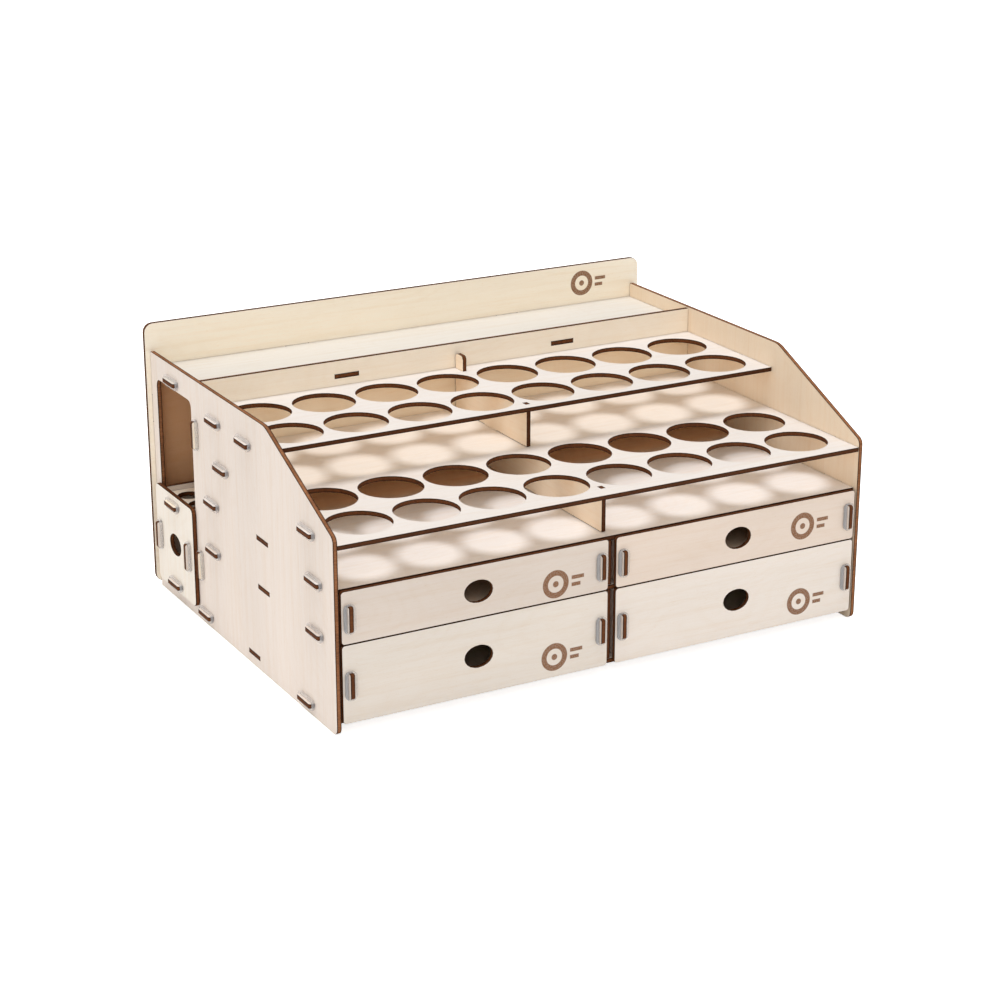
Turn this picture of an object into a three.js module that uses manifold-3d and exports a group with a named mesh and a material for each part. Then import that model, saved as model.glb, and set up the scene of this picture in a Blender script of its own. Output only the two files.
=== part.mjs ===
// A desktop paint rack organizer, cut from thin plywood boards that key into each other.
// Two stepped tiers of round pot holes, a tray on top, four drawers in front and a
// pull-out brush box in each end. Protruding tenons are locked by soft rings.
//
// Units are millimetres. +X is to the right seen from the front, +Y is to the rear, +Z is up.
// Inside the rack group, y = 0 is the front edge of the side panels and z = 0 is the table.

import * as THREE from 'three';
import { mergeVertices } from 'three/addons/utils/BufferGeometryUtils.js';
import Module from 'manifold-3d';

const wasm = await Module();
wasm.setup();

// ---- board stock and joints -------------------------------------------------------------
const PLY = 2.4;                // board thickness
const SEAT = 0.2;               // gap where the edge of one board meets the face of another
const FIT = 0.15;               // play round a tenon in its slot
const PROUD = 3;                // how far a ringed tenon stands out of the board it passes
const RINGED_TENON = 15;        // length of a tenon that carries a ring
const FLUSH_TENON = 14;         // length of a tenon that ends flush
const SMALL_TENON = 3.5;        // length of a divider's front top tenon
const TENON_ROUND = 0.9;        // corner radius on a tenon's end
const ROUND_MIDDLE = 0.3;       // how far in from the corner a tenon's rounding passes, per radius
const CUT_OVERRUN = 1;          // how far a cut runs past both faces of a board
const RING_WALL = 1.9;          // width of a locking ring beside its tenon
const RING_END_WALL = 1;        // width of a locking ring past its tenon's ends
const RING_CORNER = 3;          // outer corner radius of a locking ring
const RING_HEIGHT = 1.7;        // height of a locking ring above the board it presses on

// ---- the rack ---------------------------------------------------------------------------
const RACK_WIDTH = 310;         // over the outer faces of the side panels
const RACK_DEPTH = 229.6;       // side panels, front edge to rear edge
const SIDE_HEIGHT = 136.3;      // side panels at the rear
const SIDE_FRONT_HEIGHT = 102;  // side panels at the front edge
const SLOPE_RUN = 77;           // how far back the sloping top edge reaches
const SLOPE_REAR_RADIUS = 16;
const SLOPE_FRONT_RADIUS = 4;
const FOOT_RADIUS = 4;
const PROFILE_STEPS = 5;        // facets in each curve of the side profile
const CORNER_STEPS = 4;         // facets in every other rounded corner
const BACK_OVERHANG = 3;        // how far the back panel stands past each side panel
const BACK_LOW = 2;
const BACK_TOP = 152;
const BACK_CORNER = 5;
const PARTITION_FRONT = 165.5;  // front face of the partition behind the tiers
const PARTITION_TOP = 135.7;

// ---- levels: underside of each horizontal board -----------------------------------------
const BASE_LEVEL = 5.1;
const MIDDLE_SHELF_LEVEL = 45.8;
const BAY_TOP_LEVEL = 72.5;
const DECK_LEVEL = 95.8;
const UPPER_RACK_LEVEL = 119.3;
const TRAY_LEVEL = 125.8;
const UPPER_RACK_FRONT = 81;    // front edge of the upper rack plate
const UPPER_DIVIDER_FRONT = 85.6;
const LOWER_DIVIDER_FRONT = 9;
const DIVIDER_TENON_SETBACK = 0.8;  // front top tenons sit this far behind the divider's front
const SHELF_SETBACK = 0.4;      // shelves end this far behind the drawer fronts
const HOOK_LENGTH = 8.5;        // the upper divider's locking hook behind the rack plate
const HOOK_RISE = 8.6;
const HOOK_ROUND = 2;

// ---- paint pot holes --------------------------------------------------------------------
const POT_HOLE_DIAMETER = 33.8;
const POT_COLUMN_PITCH = 37;
const POT_COLUMNS = 8;
const DECK_POT_ROWS = [24.5, 63.5];
const UPPER_POT_ROWS = [102.5, 141.5];
const POT_HOLE_SIDES = 32;

// ---- where the side tenons of each board sit, front to rear ------------------------------
const TRAY_RINGED = [198.5];
const UPPER_RACK_RINGED = [102.5, 141.5];
const DECK_RINGED = [28, 133];
const SHELF_RINGED = [21, 147.7];
const SHELF_FLUSH = [84];
const BASE_RINGED = [33.3, 161.5];
const BASE_FLUSH = [99];
const PARTITION_RINGED = [33, 106.5];  // heights on the partition's ends
const BACK_RINGED = [34, 104];         // heights on the rear edges of the side panels
const CROSS_TENONS = [-67.5, 67.5];    // tenons along X, into the partition and back panel
const DIVIDER_TENON_LOW = 60;          // y of each divider's bottom tenon
const DIVIDER_TENON_HIGH = 110;        // y of each divider's top tenon
const UPPER_DIVIDER_TENON = 125;       // y of the upper tier divider's bottom tenon
const RIB_TENON_HEIGHT = 67;

// ---- drawers ----------------------------------------------------------------------------
const DRAWER_SIDE_PLAY = 1.15;         // between a drawer front and the boards beside it
const DRAWER_WALL_OFFSET = 70.5;       // drawer centre to the middle of each side wall
const DRAWER_REAR = 160;
const DRAWER_FLOAT = 0.4;              // clearance under the drawer walls
const DRAWER_HEADROOM = 1.6;
const FRONT_SEAM = 46.9;               // height of the joint between upper and lower fronts
const FRONT_SEAM_GAP = 0.6;
const UPPER_FRONT_TOP = 74.4;
const LOWER_FRONT_LOW = 5.6;
const DRAWER_CORNER = 1.6;
const DRAWER_TENON = 13.2;
const DRAWER_TENON_DROP = 0.4;         // front tenons sit this far below the front's middle
const DRAWER_BACK_MARGIN = 6;          // from a drawer wall's edges to the back's end tenon
const FLOOR_RISE = 2.4;                // drawer floor above the lower edge of its walls
const DRAWER_WALL_TENONS = [42, 122];
const DRAWER_CROSS_TENONS = [-35, 35];
const FINGER_HOLE_WIDTH = 16;
const FINGER_HOLE_HEIGHT = 12;
const FINGER_HOLE_SIDES = 20;

// ---- brush boxes ------------------------------------------------------------------------
const WINDOW_FRONT = 173.2;
const WINDOW_REAR = 222;
const WINDOW_TOP = 123;
const WINDOW_CORNER = 4;
const BRUSH_BOX_CENTRE = 198.5;        // y of the middle of the box
const BRUSH_FRONT_WIDTH = 53;
const BRUSH_FRONT_LOW = 7;
const BRUSH_FRONT_TOP = 63.1;
const BRUSH_WALL_OFFSET = 20.4;        // box centre to the middle of each long wall
const BRUSH_BOX_LOW = 7.9;
const BRUSH_WALL_TOP = 61.9;
const BRUSH_FLOOR_LEVEL = 10.5;
const BRUSH_PLATE_LEVEL = 56.4;
const BRUSH_BOX_INNER_END = 5;         // x where the long walls end, near the rack's middle
const BRUSH_END_MARGIN = 3;            // long wall past the end wall
const BRUSH_HOLE_DIAMETER = 12.6;
const BRUSH_HOLE_PITCH = 16;
const BRUSH_HOLE_COLUMNS = 8;
const BRUSH_FIRST_COLUMN = 145.3;      // x of the outermost holes
const BRUSH_HOLE_SIDES = 14;
const BRUSH_TENON_HEIGHT = 34.5;
const BRUSH_WALL_TENONS = [40, 112];   // x of the wall's slots for the plate and floor
const BRUSH_CORNER = 3;

// ---- worked-out sizes -------------------------------------------------------------------
const SIDE_OUTER = RACK_WIDTH / 2;
const SIDE_INNER = SIDE_OUTER - PLY;
const BOARD_END = SIDE_INNER - SEAT;              // x where boards between the sides end
const RINGED_REACH = SEAT + PLY + PROUD;          // from a board's edge to its tenon's end
const FLUSH_REACH = SEAT + PLY;
const BACK_FRONT = RACK_DEPTH + SEAT;
const BACK_REAR = BACK_FRONT + PLY;
const TIER_REAR = PARTITION_FRONT - SEAT;
const PARTITION_REAR = PARTITION_FRONT + PLY;
const SHELF_FRONT = PLY + SHELF_SETBACK;
const DIVIDER_HALF = PLY / 2;
const BAY_CENTRE = (SIDE_INNER + DIVIDER_HALF) / 2;
const DRAWER_FRONT_WIDTH = SIDE_INNER - DIVIDER_HALF - 2 * DRAWER_SIDE_PLAY;
const FRONT_MOST = -PROUD;
const REAR_MOST = BACK_REAR + PROUD;
const CENTRE_Y = (FRONT_MOST + REAR_MOST) / 2;

// ---- materials --------------------------------------------------------------------------
const basswood = () => new THREE.MeshStandardMaterial({
  color: 0xe9dccb,
  roughness: 0.72,
  metalness: 0,
});

const softRing = () => new THREE.MeshStandardMaterial({
  color: 0xc9ccd4,
  roughness: 0.45,
  metalness: 0,
});

// ---- outlines ---------------------------------------------------------------------------
// A tab is { at, width, reach }: its middle along the edge, its width and how far it stands
// out. A negative reach is a notch. Edges are listed in the order they are walked.
function walkEdge(path, start, along, out, tabs) {
  const place = (distance, offset) => path.push([
    start[0] + along[0] * distance + out[0] * offset,
    start[1] + along[1] * distance + out[1] * offset,
  ]);
  const sign = along[0] + along[1];
  const origin = along[0] !== 0 ? start[0] : start[1];
  const ordered = tabs
    .map((tab) => ({ ...tab, middle: (tab.at - origin) * sign }))
    .sort((first, second) => first.middle - second.middle);
  for (const { middle, width, reach, round = TENON_ROUND } of ordered) {
    const near = middle - width / 2;
    const far = middle + width / 2;
    const soft = reach > 0 ? round : 0;
    place(near, 0);
    if (soft > 0) {
      place(near, reach - soft);
      place(near + soft * ROUND_MIDDLE, reach - soft * ROUND_MIDDLE);
      place(near + soft, reach);
      place(far - soft, reach);
      place(far - soft * ROUND_MIDDLE, reach - soft * ROUND_MIDDLE);
      place(far, reach - soft);
    } else {
      place(near, reach);
      place(far, reach);
    }
    place(far, 0);
  }
}

// A rectangular board outline with tabs on its four edges and, if wanted, rounded corners.
function boardOutline([low, high], [bottom, top], edges = {}, corner = 0) {
  const path = [];
  const arc = (centreU, centreV, from) => {
    for (let step = 0; step <= CORNER_STEPS; step += 1) {
      const angle = from + (Math.PI / 2) * (step / CORNER_STEPS);
      path.push([centreU + corner * Math.cos(angle), centreV + corner * Math.sin(angle)]);
    }
  };
  const turn = (u, v, inwardU, inwardV, from) => {
    if (corner > 0) arc(u + inwardU * corner, v + inwardV * corner, from);
    else path.push([u, v]);
  };
  turn(low, bottom, 1, 1, Math.PI);
  walkEdge(path, [low, bottom], [1, 0], [0, -1], edges.bottom ?? []);
  turn(high, bottom, -1, 1, -Math.PI / 2);
  walkEdge(path, [high, bottom], [0, 1], [1, 0], edges.right ?? []);
  turn(high, top, -1, -1, 0);
  walkEdge(path, [high, top], [-1, 0], [0, 1], edges.top ?? []);
  turn(low, top, 1, -1, Math.PI / 2);
  walkEdge(path, [low, top], [0, -1], [-1, 0], edges.left ?? []);
  return new THREE.Shape(path.map(([u, v]) => new THREE.Vector2(u, v)));
}

function polygonHole(points) {
  return new THREE.Shape(points.map(([u, v]) => new THREE.Vector2(u, v)));
}

// A rectangular slot that takes a tenon, `long` along u and `high` along v.
function slot(u, v, long, high) {
  const halfLong = long / 2 + FIT;
  const halfHigh = high / 2 + FIT;
  return polygonHole([
    [u - halfLong, v - halfHigh],
    [u + halfLong, v - halfHigh],
    [u + halfLong, v + halfHigh],
    [u - halfLong, v + halfHigh],
  ]);
}

function ellipseHole(u, v, width, height, sides) {
  const points = [];
  for (let side = 0; side < sides; side += 1) {
    const angle = (2 * Math.PI * side) / sides;
    points.push([u + (width / 2) * Math.cos(angle), v + (height / 2) * Math.sin(angle)]);
  }
  return polygonHole(points);
}

function roundHole(u, v, diameter, sides) {
  return ellipseHole(u, v, diameter, diameter, sides);
}

const ringedTab = (at) => ({ at, width: RINGED_TENON, reach: RINGED_REACH });
const flushTab = (at) => ({ at, width: FLUSH_TENON, reach: FLUSH_REACH, round: 0 });

// ---- cutting ----------------------------------------------------------------------------
function toSolid(geometry) {
  geometry.deleteAttribute('normal');
  geometry.deleteAttribute('uv');
  const merged = mergeVertices(geometry);
  return new wasm.Manifold(new wasm.Mesh({
    numProp: 3,
    vertProperties: new Float32Array(merged.attributes.position.array),
    triVerts: new Uint32Array(merged.index.array),
  }));
}

function toGeometry(solid) {
  const { numProp, vertProperties, triVerts } = solid.getMesh();
  const geometry = new THREE.BufferGeometry();
  geometry.setAttribute('position', new THREE.BufferAttribute(vertProperties, numProp));
  geometry.setIndex(new THREE.BufferAttribute(triVerts, 1));
  const faceted = geometry.toNonIndexed();
  faceted.computeVertexNormals();
  return faceted;
}

function pushed(shape, depth) {
  return new THREE.ExtrudeGeometry(shape, { depth, bevelEnabled: false, steps: 1 });
}

// ---- boards -----------------------------------------------------------------------------
// Each board is its outline pushed PLY thick, cut by its holes, then turned to lie or stand.
function cutBoard(outline, holes) {
  let board = toSolid(pushed(outline, PLY));
  for (const hole of holes) {
    const cutter = pushed(hole, PLY + 2 * CUT_OVERRUN).translate(0, 0, -CUT_OVERRUN);
    board = board.subtract(toSolid(cutter));
  }
  return toGeometry(board);
}

function nameMesh(name, geometry, material) {
  const mesh = new THREE.Mesh(geometry, material);
  mesh.name = name;
  return mesh;
}

// Lies flat. The outline is in x and y, and `level` is the board's underside.
function flatBoard(name, level, shape, holes = []) {
  const mesh = nameMesh(name, cutBoard(shape, holes), basswood());
  mesh.position.z = level;
  return mesh;
}

// Stands across the rack. The outline is in x and z, and `front` is its front face.
function crossBoard(name, front, shape, holes = []) {
  const geometry = cutBoard(shape, holes).rotateX(Math.PI / 2);
  const mesh = nameMesh(name, geometry, basswood());
  mesh.position.y = front + PLY;
  return mesh;
}

// Stands front to rear. The outline is in y and z, and `left` is its left face.
function lengthBoard(name, left, shape, holes = []) {
  const alongX = new THREE.Matrix4().makeBasis(
    new THREE.Vector3(0, 1, 0),
    new THREE.Vector3(0, 0, 1),
    new THREE.Vector3(1, 0, 0),
  );
  const geometry = cutBoard(shape, holes).applyMatrix4(alongX);
  const mesh = nameMesh(name, geometry, basswood());
  mesh.position.x = left;
  return mesh;
}

// ---- carcass ----------------------------------------------------------------------------
// The side profile: level at the rear, sloping down to the front over the lower tier.
function sideOutline() {
  const shape = new THREE.Shape();
  const slopeAngle = Math.atan2(SIDE_HEIGHT - SIDE_FRONT_HEIGHT, SLOPE_RUN);
  const points = [];
  const addArc = (centreY, centreZ, radius, from, to) => {
    for (let step = 0; step <= PROFILE_STEPS; step += 1) {
      const angle = from + (to - from) * (step / PROFILE_STEPS);
      points.push([centreY + radius * Math.cos(angle), centreZ + radius * Math.sin(angle)]);
    }
  };
  const rearSetback = SLOPE_REAR_RADIUS * Math.tan(slopeAngle / 2);
  const frontSetback = SLOPE_FRONT_RADIUS * Math.tan((Math.PI / 2 - slopeAngle) / 2);
  addArc(FOOT_RADIUS, FOOT_RADIUS, FOOT_RADIUS, Math.PI, Math.PI * 1.5);
  points.push([RACK_DEPTH, 0]);
  walkEdge(points, [RACK_DEPTH, 0], [0, 1], [1, 0], BACK_RINGED.map(ringedTab));
  points.push([RACK_DEPTH, SIDE_HEIGHT]);
  addArc(SLOPE_RUN + rearSetback, SIDE_HEIGHT - SLOPE_REAR_RADIUS, SLOPE_REAR_RADIUS,
    Math.PI / 2, Math.PI / 2 + slopeAngle);
  addArc(SLOPE_FRONT_RADIUS, SIDE_FRONT_HEIGHT - frontSetback, SLOPE_FRONT_RADIUS,
    Math.PI / 2 + slopeAngle, Math.PI);
  shape.setFromPoints(points.map(([y, z]) => new THREE.Vector2(y, z)));
  return shape;
}

function windowHole() {
  const sill = BASE_LEVEL + PLY;
  const cornerLevel = WINDOW_TOP - WINDOW_CORNER;
  const points = [[WINDOW_FRONT, sill], [WINDOW_REAR, sill]];
  const addCorner = (centreY, from) => {
    for (let step = 0; step <= CORNER_STEPS; step += 1) {
      const angle = from + (Math.PI / 2) * (step / CORNER_STEPS);
      points.push([
        centreY + WINDOW_CORNER * Math.cos(angle),
        cornerLevel + WINDOW_CORNER * Math.sin(angle),
      ]);
    }
  };
  addCorner(WINDOW_REAR - WINDOW_CORNER, 0);
  addCorner(WINDOW_FRONT + WINDOW_CORNER, Math.PI / 2);
  return polygonHole(points);
}

function sidePanel(name, left) {
  const levelSlots = [
    [TRAY_LEVEL, TRAY_RINGED, RINGED_TENON],
    [UPPER_RACK_LEVEL, UPPER_RACK_RINGED, RINGED_TENON],
    [DECK_LEVEL, DECK_RINGED, RINGED_TENON],
    [BAY_TOP_LEVEL, SHELF_RINGED, RINGED_TENON],
    [BAY_TOP_LEVEL, SHELF_FLUSH, FLUSH_TENON],
    [MIDDLE_SHELF_LEVEL, SHELF_RINGED, RINGED_TENON],
    [MIDDLE_SHELF_LEVEL, SHELF_FLUSH, FLUSH_TENON],
    [BASE_LEVEL, BASE_RINGED, RINGED_TENON],
    [BASE_LEVEL, BASE_FLUSH, FLUSH_TENON],
  ];
  const holes = [windowHole()];
  for (const [level, places, length] of levelSlots) {
    for (const y of places) holes.push(slot(y, level + PLY / 2, length, PLY));
  }
  for (const z of PARTITION_RINGED) {
    holes.push(slot(PARTITION_FRONT + PLY / 2, z, PLY, RINGED_TENON));
  }
  return lengthBoard(name, left, sideOutline(), holes);
}

function backPanel() {
  const half = SIDE_OUTER + BACK_OVERHANG;
  const shape = boardOutline([-half, half], [BACK_LOW, BACK_TOP], {}, BACK_CORNER);
  const holes = [];
  for (const x of CROSS_TENONS) {
    holes.push(slot(x, TRAY_LEVEL + PLY / 2, FLUSH_TENON, PLY));
    holes.push(slot(x, BASE_LEVEL + PLY / 2, FLUSH_TENON, PLY));
  }
  for (const side of [-1, 1]) {
    const x = side * (SIDE_OUTER - PLY / 2);
    for (const z of BACK_RINGED) holes.push(slot(x, z, PLY, RINGED_TENON));
  }
  holes.push(slot(0, RIB_TENON_HEIGHT, PLY, FLUSH_TENON));
  return crossBoard('back_panel', BACK_FRONT, shape, holes);
}

function rearPartition() {
  const low = BASE_LEVEL + PLY + SEAT;
  const ends = PARTITION_RINGED.map(ringedTab);
  const feet = CROSS_TENONS.map(flushTab);
  const edges = { left: ends, right: ends, bottom: feet };
  const shape = boardOutline([-BOARD_END, BOARD_END], [low, PARTITION_TOP], edges);
  const holes = CROSS_TENONS.map((x) => slot(x, TRAY_LEVEL + PLY / 2, FLUSH_TENON, PLY));
  return crossBoard('rear_partition', PARTITION_FRONT, shape, holes);
}

function trayFloor() {
  const sides = TRAY_RINGED.map(ringedTab);
  const cross = CROSS_TENONS.map(flushTab);
  const edges = { left: sides, right: sides, bottom: cross, top: cross };
  const depth = [PARTITION_REAR + SEAT, BACK_FRONT - SEAT];
  return flatBoard('tray_floor', TRAY_LEVEL, boardOutline([-BOARD_END, BOARD_END], depth, edges));
}

function potHoles(rows) {
  const holes = [];
  for (const y of rows) {
    for (let column = 0; column < POT_COLUMNS; column += 1) {
      const x = (column - (POT_COLUMNS - 1) / 2) * POT_COLUMN_PITCH;
      holes.push(roundHole(x, y, POT_HOLE_DIAMETER, POT_HOLE_SIDES));
    }
  }
  return holes;
}

// Middle of a divider's front top tenon, just behind the divider's front edge.
const frontTenonAt = (front) => front + DIVIDER_TENON_SETBACK + SMALL_TENON / 2;

function upperRackPlate() {
  const sides = UPPER_RACK_RINGED.map(ringedTab);
  const notch = { at: 0, width: PLY + 2 * FIT, reach: -(SEAT + HOOK_LENGTH + FIT) };
  const edges = { left: sides, right: sides, top: [notch] };
  const depth = [UPPER_RACK_FRONT, TIER_REAR];
  const shape = boardOutline([-BOARD_END, BOARD_END], depth, edges);
  const holes = potHoles(UPPER_POT_ROWS);
  holes.push(slot(0, frontTenonAt(UPPER_DIVIDER_FRONT), PLY, SMALL_TENON));
  return flatBoard('upper_rack_plate', UPPER_RACK_LEVEL, shape, holes);
}

function lowerRackDeck() {
  const sides = DECK_RINGED.map(ringedTab);
  const shape = boardOutline([-BOARD_END, BOARD_END], [0, TIER_REAR], { left: sides, right: sides });
  const holes = potHoles(DECK_POT_ROWS);
  holes.push(slot(0, frontTenonAt(LOWER_DIVIDER_FRONT), PLY, SMALL_TENON));
  holes.push(slot(0, UPPER_DIVIDER_TENON, PLY, FLUSH_TENON));
  return flatBoard('lower_rack_deck', DECK_LEVEL, shape, holes);
}

function drawerShelf(name, level) {
  const sides = [...SHELF_RINGED.map(ringedTab), ...SHELF_FLUSH.map(flushTab)];
  const edges = { left: sides, right: sides };
  const shape = boardOutline([-BOARD_END, BOARD_END], [SHELF_FRONT, TIER_REAR], edges);
  const holes = [DIVIDER_TENON_LOW, DIVIDER_TENON_HIGH].map((y) => slot(0, y, PLY, FLUSH_TENON));
  return flatBoard(name, level, shape, holes);
}

function baseBoard() {
  const sides = [...BASE_RINGED.map(ringedTab), ...BASE_FLUSH.map(flushTab)];
  const cross = CROSS_TENONS.map(flushTab);
  const edges = { left: sides, right: sides, top: cross };
  const shape = boardOutline([-BOARD_END, BOARD_END], [SHELF_FRONT, BACK_FRONT - SEAT], edges);
  const holes = [slot(0, DIVIDER_TENON_LOW, PLY, FLUSH_TENON)];
  holes.push(slot(0, BRUSH_BOX_CENTRE, PLY, FLUSH_TENON));
  for (const x of CROSS_TENONS) {
    holes.push(slot(x, PARTITION_FRONT + PLY / 2, FLUSH_TENON, PLY));
  }
  return flatBoard('base_board', BASE_LEVEL, shape, holes);
}

// A divider stands between two boards on the rack's middle line.
function divider(name, front, lowBoard, highBoard, edges) {
  const heights = [lowBoard + PLY + SEAT, highBoard - SEAT];
  return lengthBoard(name, -DIVIDER_HALF, boardOutline([front, TIER_REAR - SEAT], heights, edges));
}

function dividers() {
  const frontTenon = (front) => (
    { at: frontTenonAt(front), width: SMALL_TENON, reach: FLUSH_REACH, round: 0 });
  const hook = {
    at: TIER_REAR - SEAT - HOOK_LENGTH / 2,
    width: HOOK_LENGTH,
    reach: SEAT + PLY + HOOK_RISE,
    round: HOOK_ROUND,
  };
  return [
    divider('upper_tier_divider', UPPER_DIVIDER_FRONT, DECK_LEVEL, UPPER_RACK_LEVEL, {
      bottom: [flushTab(UPPER_DIVIDER_TENON)],
      top: [frontTenon(UPPER_DIVIDER_FRONT), hook],
    }),
    divider('lower_tier_divider', LOWER_DIVIDER_FRONT, BAY_TOP_LEVEL, DECK_LEVEL, {
      bottom: [flushTab(DIVIDER_TENON_LOW)],
      top: [frontTenon(LOWER_DIVIDER_FRONT)],
    }),
    divider('upper_drawer_divider', SHELF_FRONT, MIDDLE_SHELF_LEVEL, BAY_TOP_LEVEL, {
      bottom: [flushTab(DIVIDER_TENON_LOW)],
      top: [flushTab(DIVIDER_TENON_HIGH)],
    }),
    divider('lower_drawer_divider', SHELF_FRONT, BASE_LEVEL, MIDDLE_SHELF_LEVEL, {
      bottom: [flushTab(DIVIDER_TENON_LOW)],
      top: [flushTab(DIVIDER_TENON_HIGH)],
    }),
  ];
}

function rearCentreRib() {
  const depth = [PARTITION_REAR + SEAT, BACK_FRONT - SEAT];
  const heights = [BASE_LEVEL + PLY + SEAT, TRAY_LEVEL - SEAT];
  const edges = { bottom: [flushTab(BRUSH_BOX_CENTRE)], right: [flushTab(RIB_TENON_HEIGHT)] };
  return lengthBoard('rear_centre_rib', -DIVIDER_HALF, boardOutline(depth, heights, edges));
}

// ---- locking rings ----------------------------------------------------------------------
// A soft oblong ring round a tenon. Its long way runs along v and it is pushed RING_HEIGHT
// thick; the same ring turned a quarter fits a tenon that lies flat.
function oblong(halfLong, halfWide, radius, steps, Kind) {
  const points = [];
  const corners = [[1, -1, -Math.PI / 2], [1, 1, 0], [-1, 1, Math.PI / 2], [-1, -1, Math.PI]];
  for (const [signU, signV, from] of corners) {
    const centreU = signU * (halfWide - radius);
    const centreV = signV * (halfLong - radius);
    for (let step = 0; step <= steps; step += 1) {
      const angle = from + (Math.PI / 2) * (step / steps);
      points.push([centreU + radius * Math.cos(angle), centreV + radius * Math.sin(angle)]);
    }
  }
  return new Kind(points.map(([u, v]) => new THREE.Vector2(u, v)));
}

function ringGeometry(tenonLength) {
  const innerLong = tenonLength / 2 + FIT;
  const innerWide = PLY / 2 + FIT;
  const outerLong = innerLong + RING_END_WALL;
  const outerWide = innerWide + RING_WALL;
  const outer = oblong(outerLong, outerWide, RING_CORNER, CORNER_STEPS, THREE.Shape);
  outer.holes.push(oblong(innerLong, innerWide, FIT, 1, THREE.Path));
  return pushed(outer, RING_HEIGHT);
}

// Round an upright tenon that comes out of a front, facing the user.
function frontRing(name, x, z, tenonLength) {
  const mesh = nameMesh(name, ringGeometry(tenonLength).rotateX(Math.PI / 2), softRing());
  mesh.position.set(x, -SEAT, z);
  return mesh;
}

// Round a tenon that comes out of the left end. `flat` is for a tenon that lies flat.
function endRing(name, face, y, z, flat) {
  const facingX = new THREE.Matrix4().makeBasis(
    new THREE.Vector3(0, flat ? 0 : -1, flat ? 1 : 0),
    new THREE.Vector3(0, flat ? 1 : 0, flat ? 0 : 1),
    new THREE.Vector3(-1, 0, 0),
  );
  const geometry = ringGeometry(RINGED_TENON).applyMatrix4(facingX);
  const mesh = nameMesh(name, geometry, softRing());
  mesh.position.set(face - SEAT, y, z);
  return mesh;
}

// ---- drawers ----------------------------------------------------------------------------
function drawer(prefix, centreX, bayLow, bayHigh, frontLow, frontTop) {
  const group = new THREE.Group();
  group.position.x = centreX;
  const wallLow = bayLow + DRAWER_FLOAT;
  const wallTop = bayHigh - DRAWER_HEADROOM;
  const floorLevel = wallLow + FLOOR_RISE;
  const middle = (frontLow + frontTop) / 2;
  const tenonMiddle = middle - DRAWER_TENON_DROP;
  const innerHalf = DRAWER_WALL_OFFSET - PLY / 2;
  const wallFront = PLY + SEAT;
  const backFront = DRAWER_REAR - 2 * PLY;
  const backHeight = (wallLow + wallTop) / 2;
  const backTenon = wallTop - wallLow - 2 * DRAWER_BACK_MARGIN;

  const front = boardOutline(
    [-DRAWER_FRONT_WIDTH / 2, DRAWER_FRONT_WIDTH / 2],
    [frontLow, frontTop],
    {},
    DRAWER_CORNER,
  );
  const frontHoles = [ellipseHole(0, middle, FINGER_HOLE_WIDTH, FINGER_HOLE_HEIGHT,
    FINGER_HOLE_SIDES)];
  for (const side of [-1, 1]) {
    frontHoles.push(slot(side * DRAWER_WALL_OFFSET, tenonMiddle, PLY, DRAWER_TENON));
  }
  group.add(crossBoard(`${prefix}_front`, 0, front, frontHoles));

  for (const [side, word] of [[-1, 'left'], [1, 'right']]) {
    const tenon = { at: tenonMiddle, width: DRAWER_TENON, reach: RINGED_REACH };
    const wall = boardOutline([wallFront, DRAWER_REAR], [wallLow, wallTop], { left: [tenon] });
    const wallHoles = DRAWER_WALL_TENONS.map((y) => (
      slot(y, floorLevel + PLY / 2, FLUSH_TENON, PLY)));
    wallHoles.push(slot(backFront + PLY / 2, backHeight, PLY, backTenon));
    const wallLeft = side * DRAWER_WALL_OFFSET - PLY / 2;
    group.add(lengthBoard(`${prefix}_${word}_wall`, wallLeft, wall, wallHoles));
    const ringX = side * DRAWER_WALL_OFFSET;
    group.add(frontRing(`${prefix}_${word}_ring`, ringX, tenonMiddle, DRAWER_TENON));
  }

  const reachIn = innerHalf - SEAT;
  const backEnds = [{ at: backHeight, width: backTenon, reach: FLUSH_REACH, round: 0 }];
  const backFeet = DRAWER_CROSS_TENONS.map(flushTab);
  const back = boardOutline([-reachIn, reachIn], [floorLevel + PLY + SEAT, wallTop],
    { left: backEnds, right: backEnds, bottom: backFeet });
  group.add(crossBoard(`${prefix}_back`, backFront, back));

  const floorEnds = DRAWER_WALL_TENONS.map(flushTab);
  const floor = boardOutline([-reachIn, reachIn], [wallFront, DRAWER_REAR],
    { left: floorEnds, right: floorEnds });
  const floorHoles = DRAWER_CROSS_TENONS.map((x) => (
    slot(x, backFront + PLY / 2, FLUSH_TENON, PLY)));
  group.add(flatBoard(`${prefix}_floor`, floorLevel, floor, floorHoles));
  return group;
}

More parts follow.
